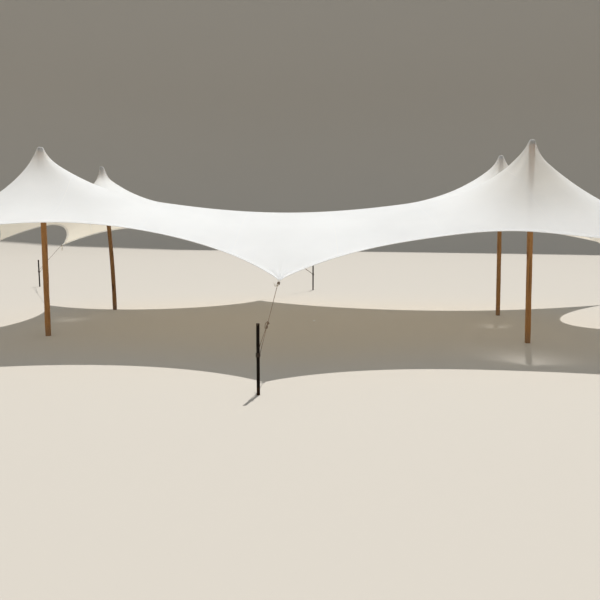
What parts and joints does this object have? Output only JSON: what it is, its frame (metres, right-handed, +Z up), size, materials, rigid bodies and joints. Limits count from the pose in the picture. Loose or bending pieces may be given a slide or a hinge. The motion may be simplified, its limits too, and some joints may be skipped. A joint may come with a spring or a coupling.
{
  "type": "stretch tent",
  "caption": "Open-sided stretch tent: a white stretch cloth on timber posts, drawn out to points that guy ropes tie down to steel stakes.",
  "frame": {"origin": "on the ground, under the middle of the tent's bounding box, ropes and stakes included", "axes": "+X to the right along the tent's length, +Y to the back, +Z up; the long open front faces -Y"},
  "size_m": [16.1524, 11.582, 3.0715],
  "materials": {
    "cloth": "matte knitted stretch cloth, off-white, lets some light through",
    "timber": "sawn timber, oiled, golden brown",
    "post_cap": "matte black rubber pad",
    "rope": "laid rope, brown, weathered",
    "stake": "black painted steel, scuffed"
  },
  "bodies": {
    "root": {"canopy_strip_1": "cloth", "canopy_strip_2": "cloth", "canopy_strip_3": "cloth", "canopy_strip_4": "cloth", "canopy_strip_5": "cloth", "canopy_strip_6": "cloth", "canopy_strip_7": "cloth", "canopy_strip_8": "cloth", "canopy_strip_9": "cloth", "post_front_left": "timber", "post_front_right": "timber", "post_back_left": "timber", "post_back_right": "timber", "post_cap_front_left": "post_cap", "post_cap_front_right": "post_cap", "post_cap_back_left": "post_cap", "post_cap_back_right": "post_cap", "cloth_tail_front_left": "cloth", "cloth_tail_front_middle": "cloth", "cloth_tail_front_right": "cloth", "cloth_tail_right_middle": "cloth", "cloth_tail_back_right": "cloth", "cloth_tail_back_middle": "cloth", "cloth_tail_back_left": "cloth", "cloth_tail_left_middle": "cloth", "guy_rope_front_left": "rope", "guy_rope_front_middle": "rope", "guy_rope_front_right": "rope", "guy_rope_right_middle": "rope", "guy_rope_back_right": "rope", "guy_rope_back_middle": "rope", "guy_rope_back_left": "rope", "guy_rope_left_middle": "rope", "ground_stake_front_left": "stake", "ground_stake_front_middle": "stake", "ground_stake_front_right": "stake", "ground_stake_right_middle": "stake", "ground_stake_back_right": "stake", "ground_stake_back_middle": "stake", "ground_stake_back_left": "stake", "ground_stake_left_middle": "stake"}
  },
  "joints": []
}
